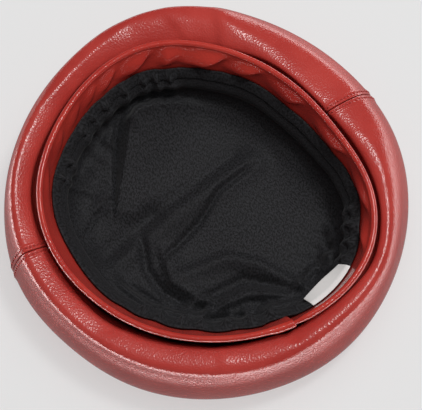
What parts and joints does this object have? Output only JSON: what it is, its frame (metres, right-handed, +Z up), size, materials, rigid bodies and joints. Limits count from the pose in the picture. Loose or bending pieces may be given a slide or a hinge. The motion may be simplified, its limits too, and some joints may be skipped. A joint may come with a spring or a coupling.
{
  "type": "leather beret",
  "caption": "Soft round leather beret lying upside-down on its crown, with a full puffed side ring, a standing folded headband and a dark cloth lining.",
  "frame": {"origin": "on the surface that the beret lies on, under the middle of its outline", "axes": "+Z up out of the head opening, from the crown towards the rim of the band; +X to the right and -Y to the near side, as the beret lies"},
  "size_m": [0.2502, 0.2446, 0.06],
  "materials": {
    "leather": "smooth coated leather with a soft gloss",
    "band_leather": "smooth coated leather with a soft gloss",
    "lining_cloth": "matte fine twill",
    "label_satin": "white satin, left bare"
  },
  "bodies": {
    "root": {"crown_top": "leather", "side_panel_far": "leather", "side_panel_near": "leather", "headband": "band_leather", "lining": "lining_cloth", "lining_hem": "lining_cloth", "care_label": "label_satin"}
  },
  "joints": []
}
